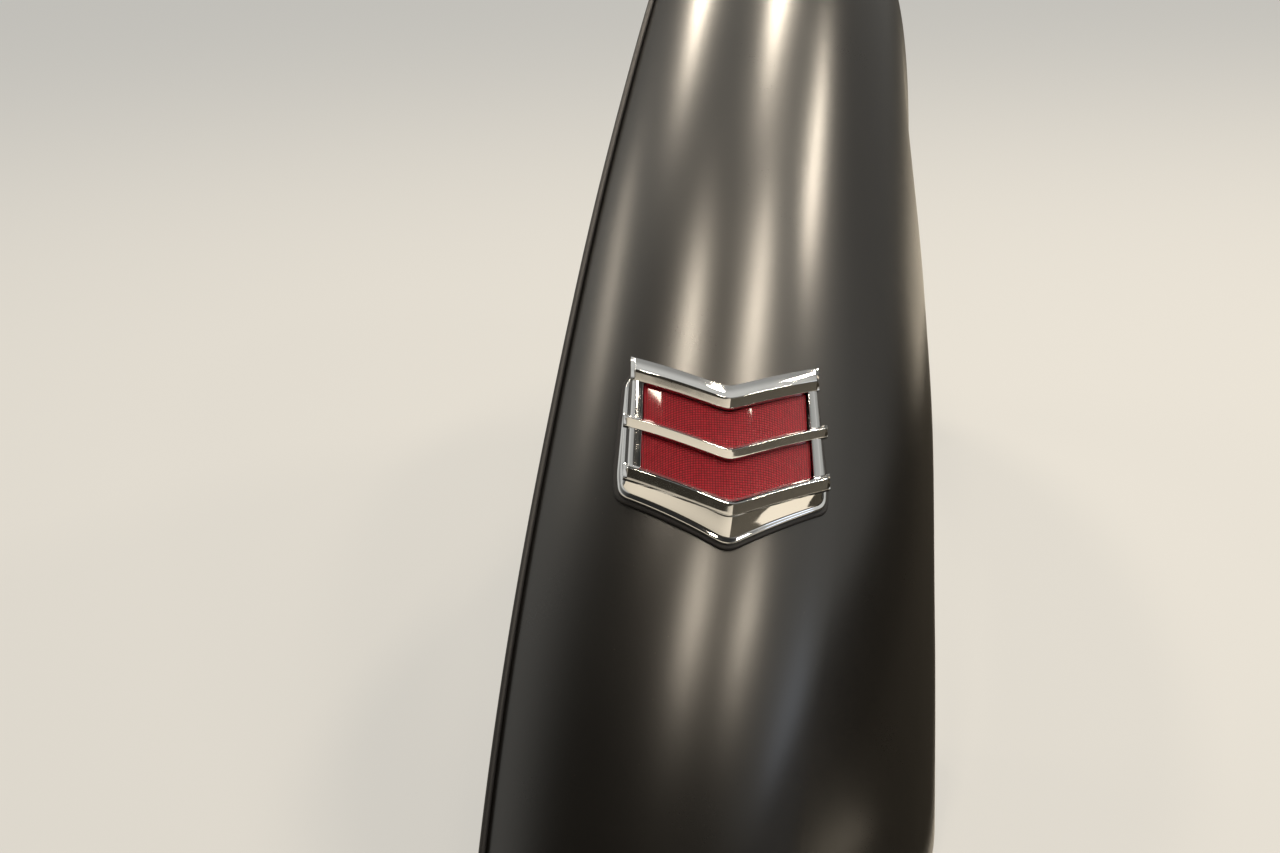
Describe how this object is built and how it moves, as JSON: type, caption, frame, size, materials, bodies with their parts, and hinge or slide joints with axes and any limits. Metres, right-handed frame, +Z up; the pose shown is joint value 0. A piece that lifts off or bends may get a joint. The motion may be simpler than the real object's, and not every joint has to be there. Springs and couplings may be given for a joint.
{
  "type": "rear fender with tail lamp",
  "caption": "Teardrop steel rear fender in satin black with a flanged inner edge, a rolled wheel arch and a chromed chevron tail lamp with a red lens.",
  "frame": {"origin": "midway between the front and rear flange bolts that are level with the wheel axle, in the face of the flange that lies against the body", "axes": "+Y forward along the car, +Z up, +X outboard from the body; -X is the way the body leaves the flange"},
  "size_m": [0.2841, 1.4429, 0.7206],
  "materials": {
    "satin_black_paint": "satin",
    "chrome": "polished",
    "red_lens": "prismatic",
    "black_rubber": "matte",
    "plated_steel": "zinc plated",
    "reflector": "silvered",
    "brass": "satin",
    "clear_glass": "clear"
  },
  "bodies": {
    "root": {"fender_skin": "satin_black_paint", "fender_welt": "black_rubber", "lamp_pad": "black_rubber", "lamp_bezel": "chrome", "lamp_lens": "red_lens", "lens_seal": "black_rubber", "lamp_bucket": "plated_steel", "lamp_reflector": "reflector", "bulb_socket": "plated_steel", "bulb_base": "brass", "bulb_glass": "clear_glass", "stud_upper": "plated_steel", "stud_lower": "plated_steel", "washer_upper": "plated_steel", "washer_lower": "plated_steel", "nut_upper": "plated_steel", "nut_lower": "plated_steel"}
  },
  "joints": []
}
